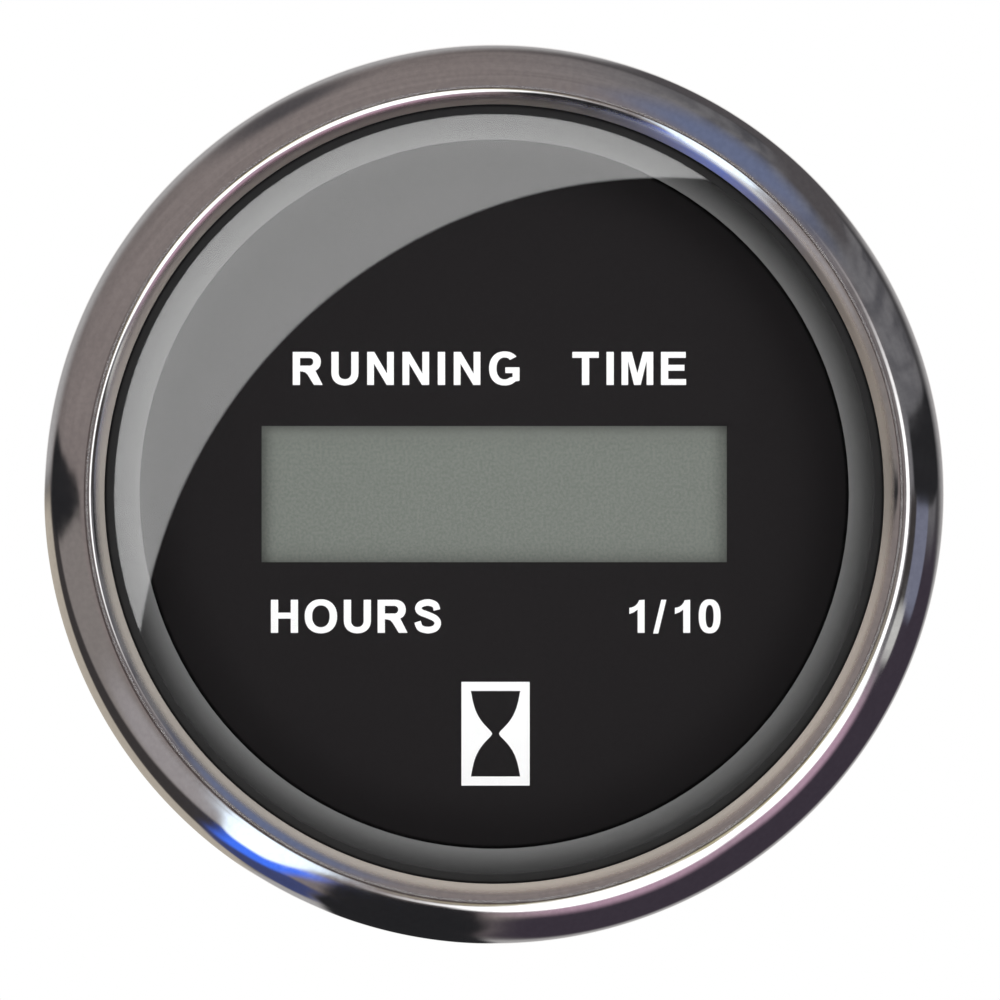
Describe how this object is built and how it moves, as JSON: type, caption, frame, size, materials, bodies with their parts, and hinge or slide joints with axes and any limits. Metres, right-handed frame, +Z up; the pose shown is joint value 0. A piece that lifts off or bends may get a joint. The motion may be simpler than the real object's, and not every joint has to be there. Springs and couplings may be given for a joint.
{
  "type": "hour meter",
  "caption": "Round panel hour meter with a chromed bezel, flat glass, black dial and blank liquid-crystal counter, held from behind by a U-shaped clamp with thumb nuts.",
  "frame": {"origin": "on the barrel's axis, in the plane of the bezel's back face, which seats on the front of the panel", "axes": "-Y out of the dial towards the viewer, +Y into the panel along the barrel, +Z up the dial, +X to the dial's right"},
  "size_m": [0.06, 0.0524, 0.06],
  "materials": {
    "bezel": "polished chrome plate on formed sheet",
    "lens_gasket": "black moulded rubber",
    "lens": "clear polished flat glass",
    "trim_ring": "satin black moulding",
    "dial_plate": "matt black paint with white printed legends",
    "lcd_panel": "grey-green reflective liquid-crystal glass",
    "lcd_frame": "white moulding",
    "contact_strips": "layered elastomer contact strip",
    "circuit_board": "green solder mask",
    "chips": "black moulded epoxy",
    "quartz_crystal": "nickel-plated can",
    "filter_capacitor": "bare can",
    "case": "fine-grained black moulding",
    "brass": "bright brass",
    "zinc_steel": "clear zinc plate"
  },
  "bodies": {
    "meter": {"bezel": "bezel", "lens_gasket": "lens_gasket", "lens": "lens", "trim_ring": "trim_ring", "dial_plate": "dial_plate", "lcd_panel": "lcd_panel", "lcd_frame": "lcd_frame", "contact_strips": "contact_strips", "circuit_board": "circuit_board", "microcontroller": "chips", "memory_chip": "chips", "quartz_crystal": "quartz_crystal", "filter_capacitor": "filter_capacitor", "voltage_regulator": "chips", "protection_diode": "chips", "chip_resistors": "chips", "board_screws": "zinc_steel", "case": "case", "contact_tabs": "brass", "positive_stud": "brass", "negative_stud": "brass", "fixing_nuts": "brass", "terminal_washers": "zinc_steel", "terminal_nuts": "brass", "clamp_studs": "zinc_steel"},
    "clamp": {"clamp_bracket": "zinc_steel", "clamp_washers": "zinc_steel"},
    "left_nut": {"left_thumb_nut": "brass"},
    "right_nut": {"right_thumb_nut": "brass"}
  },
  "joints": [
    {"name": "clamp_slide", "type": "slide", "parent": "meter", "child": "clamp", "axis": [0, 1, 0], "range_m": [-0.0042, 0.0028]},
    {"name": "left_nut_turn", "type": "hinge", "parent": "clamp", "child": "left_nut", "pos_m": [-0.016, 0.0366, 0], "axis": [0, 1, 0], "range_deg": [-2161, 1441]},
    {"name": "right_nut_turn", "type": "hinge", "parent": "clamp", "child": "right_nut", "pos_m": [0.016, 0.0366, 0], "axis": [0, 1, 0], "range_deg": [-2161, 1441]}
  ],
  "couplings": [
    {"joint": "left_nut_turn", "follows": "clamp_slide", "rad_per_m": 8976},
    {"joint": "right_nut_turn", "follows": "clamp_slide", "rad_per_m": 8976}
  ]
}
